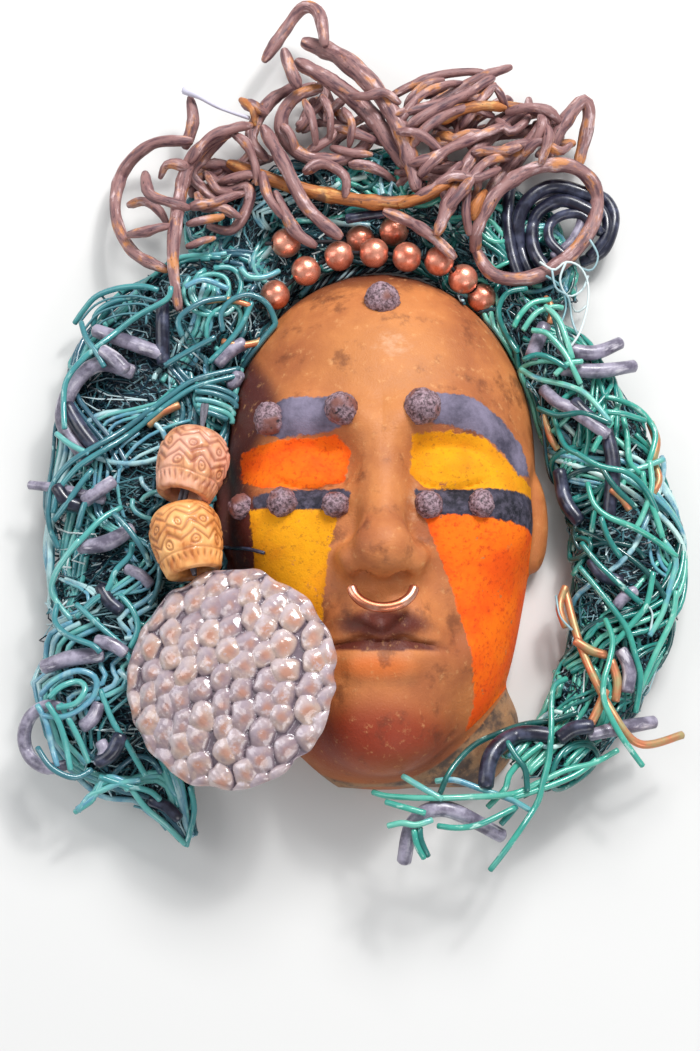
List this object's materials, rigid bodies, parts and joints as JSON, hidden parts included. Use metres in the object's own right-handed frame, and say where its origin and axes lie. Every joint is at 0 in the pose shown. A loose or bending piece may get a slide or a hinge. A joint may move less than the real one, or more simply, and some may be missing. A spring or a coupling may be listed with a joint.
{
  "type": "decorative face mask",
  "caption": "Hollow raku-fired clay face mask with wire hair, a dried vine headdress, copper beads, a nose ring and a long earring.",
  "frame": {"origin": "bottom centre of the bounding box, with the mask lying on its back", "axes": "+X to the right of someone facing the mask, +Y to its crown, +Z out of the face"},
  "size_m": [0.213, 0.2923, 0.0615],
  "materials": {
    "clay": "raku-fired terracotta, satin, with fields of matt orange, yellow and charcoal colour",
    "copper": "polished copper with a light patina",
    "bead_thread": "dull black twine",
    "carved_wood": "carved and waxed",
    "cord": "dull grey cord",
    "pebble_glass": "glossy, opaque",
    "green_wire": "glossy plastic coat on wire",
    "grey_cable": "glossy plastic sheath",
    "vine": "dry bark",
    "rust_vine": "dry bark, rust brown"
  },
  "bodies": {
    "root": {"mask": "clay", "nose_ring": "copper", "copper_bead_1": "copper", "copper_bead_2": "copper", "copper_bead_3": "copper", "copper_bead_4": "copper", "copper_bead_5": "copper", "copper_bead_6": "copper", "copper_bead_7": "copper", "copper_bead_8": "copper", "front_bead_thread": "bead_thread", "copper_bead_9": "copper", "copper_bead_10": "copper", "copper_bead_11": "copper", "back_bead_thread": "bead_thread", "crown_wire_lock": "green_wire", "left_wire_lock": "green_wire", "right_wire_lock": "green_wire", "dark_crown_cable": "grey_cable", "dark_outer_coil": "grey_cable", "dark_inner_coil": "grey_cable", "grey_inner_coil": "grey_cable", "vine_back_twig": "rust_vine", "vine_back_branch": "vine", "vine_rust_bar": "rust_vine", "vine_right_slope": "vine", "vine_left_stub": "vine", "vine_left_loop": "vine", "vine_left_curl": "vine", "vine_left_elbow": "vine", "vine_left_bow": "vine", "vine_left_fall": "vine", "vine_bead_twig": "vine", "vine_crown_ring": "vine", "vine_right_point": "vine", "vine_right_branch": "vine", "vine_inner_arch": "vine", "vine_front_arch": "vine", "vine_top_stub": "vine", "vine_top_hook": "vine", "vine_right_sweep": "vine", "vine_right_stem": "vine", "vine_right_hairpin": "vine", "vine_right_ring": "vine", "vine_left_drop": "vine", "grey_loop_cable": "grey_cable", "grey_end_cable": "grey_cable", "grey_upper_bar": "grey_cable", "grey_lower_bar": "grey_cable", "grey_curl_cable": "grey_cable", "grey_upper_finger": "grey_cable", "grey_lower_finger": "grey_cable", "dark_middle_cable": "grey_cable", "grey_right_stub": "grey_cable", "grey_tail_arc": "grey_cable", "copper_wire": "copper", "upper_wooden_bead": "carved_wood", "lower_wooden_bead": "carved_wood", "pendant_disc": "pebble_glass", "earring_cord": "cord"}
  },
  "joints": []
}
